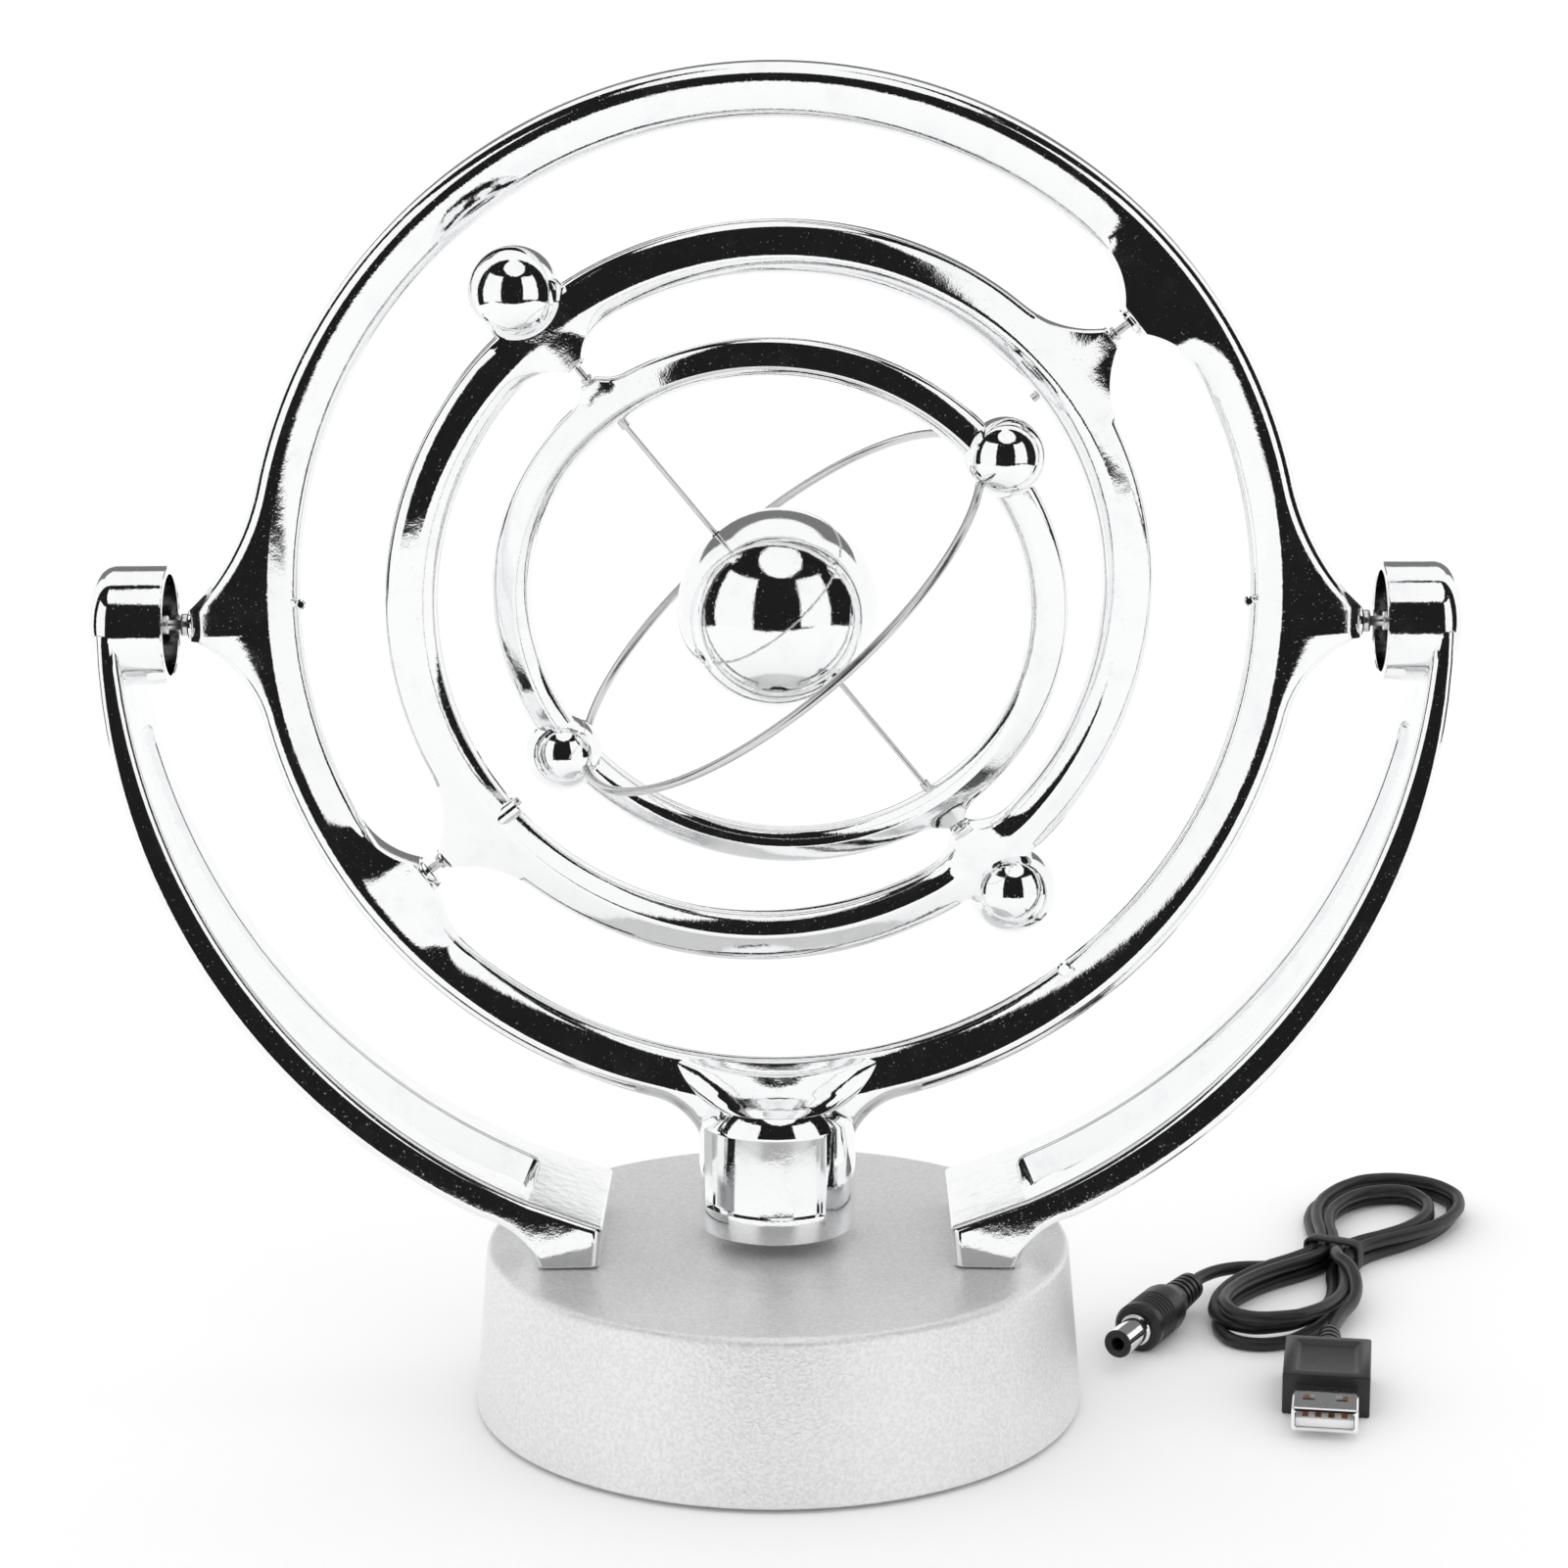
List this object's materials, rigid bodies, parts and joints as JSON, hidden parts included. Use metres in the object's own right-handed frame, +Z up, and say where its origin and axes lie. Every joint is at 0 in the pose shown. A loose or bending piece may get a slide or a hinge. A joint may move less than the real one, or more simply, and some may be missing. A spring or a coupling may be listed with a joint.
{
  "type": "kinetic orbital desk toy",
  "caption": "Desk toy with a drum base, two curved arms and chrome rings and a ball pivoted inside one another, kept swinging by a coil in the base and a magnet in the hub.",
  "frame": {"origin": "bottom centre of the toy without its power lead, on the desk", "axes": "+Z up, +X along the outer pivot axis from the left cup to the right cup, -Y towards the viewer"},
  "size_m": [0.2643, 0.1717, 0.2446],
  "materials": {
    "chrome_plate": "bright chrome plate on moulded plastic",
    "pin_steel": "drawn steel wire",
    "screw_steel": "zinc plated",
    "foot_rubber": "matt",
    "satin_silver": "satin silver lacquer on moulded plastic",
    "black_plastic": "matt",
    "bearing_plastic": "smooth low-friction plastic",
    "bobbin_nylon": "natural",
    "copper_wire": "enamelled winding wire",
    "board_green": "solder mask",
    "magnet_nickel": "nickel plated",
    "cord_black": "soft PVC sheath",
    "tie_black": "coated wire tie",
    "plug_black": "moulded PVC"
  },
  "bodies": {
    "stand": {"base_housing": "satin_silver", "bottom_plate": "black_plastic", "rubber_foot_1": "foot_rubber", "rubber_foot_2": "foot_rubber", "rubber_foot_3": "foot_rubber", "rubber_foot_4": "foot_rubber", "bottom_screw_1": "screw_steel", "bottom_screw_2": "screw_steel", "bottom_screw_3": "screw_steel", "bottom_screw_4": "screw_steel", "arm_screw_1": "screw_steel", "arm_screw_2": "screw_steel", "arm_screw_3": "screw_steel", "arm_screw_4": "screw_steel", "circuit_board": "board_green", "coil_bobbin": "bobbin_nylon", "coil_winding": "copper_wire", "coil_core": "pin_steel", "power_jack": "black_plastic", "left_arm": "chrome_plate", "right_arm": "chrome_plate", "left_pivot_bearing": "bearing_plastic", "right_pivot_bearing": "bearing_plastic", "cord_hank": "cord_black", "dc_lead": "cord_black", "usb_lead": "cord_black", "cord_tie": "tie_black", "dc_plug_body": "plug_black", "dc_plug_barrel": "chrome_plate", "usb_plug_body": "plug_black", "usb_plug_shell": "chrome_plate", "usb_plug_tongue": "bobbin_nylon"},
    "outer_frame": {"outer_ring": "chrome_plate", "hub_magnet": "magnet_nickel", "hub_cap": "black_plastic", "left_pivot_pin": "pin_steel", "right_pivot_pin": "pin_steel"},
    "middle_frame": {"middle_ring": "chrome_plate", "middle_pin_upper": "pin_steel", "middle_pin_lower": "pin_steel"},
    "inner_frame": {"inner_ring": "chrome_plate", "inner_pin_upper": "pin_steel", "inner_pin_lower": "pin_steel", "orbit_wire_front": "pin_steel", "orbit_wire_back": "pin_steel", "axle_wire": "pin_steel"},
    "centre_ball": {"centre_sphere": "chrome_plate"}
  },
  "joints": [
    {"name": "outer_swing", "type": "hinge", "parent": "stand", "child": "outer_frame", "pos_m": [0, 0, 0.146], "axis": [1, 0, 0], "continuous": true},
    {"name": "middle_swing", "type": "hinge", "parent": "outer_frame", "child": "middle_frame", "pos_m": [-0.00032, 0, 0.14975], "axis": [0.7869, 0, 0.617], "continuous": true},
    {"name": "inner_swing", "type": "hinge", "parent": "middle_frame", "child": "inner_frame", "pos_m": [-0.00032, 0, 0.14975], "axis": [-0.6071, -0.1788, 0.7743], "continuous": true},
    {"name": "ball_spin", "type": "hinge", "parent": "inner_frame", "child": "centre_ball", "pos_m": [-0.00032, 0, 0.14975], "axis": [-0.6071, -0.1788, 0.7743], "continuous": true}
  ]
}
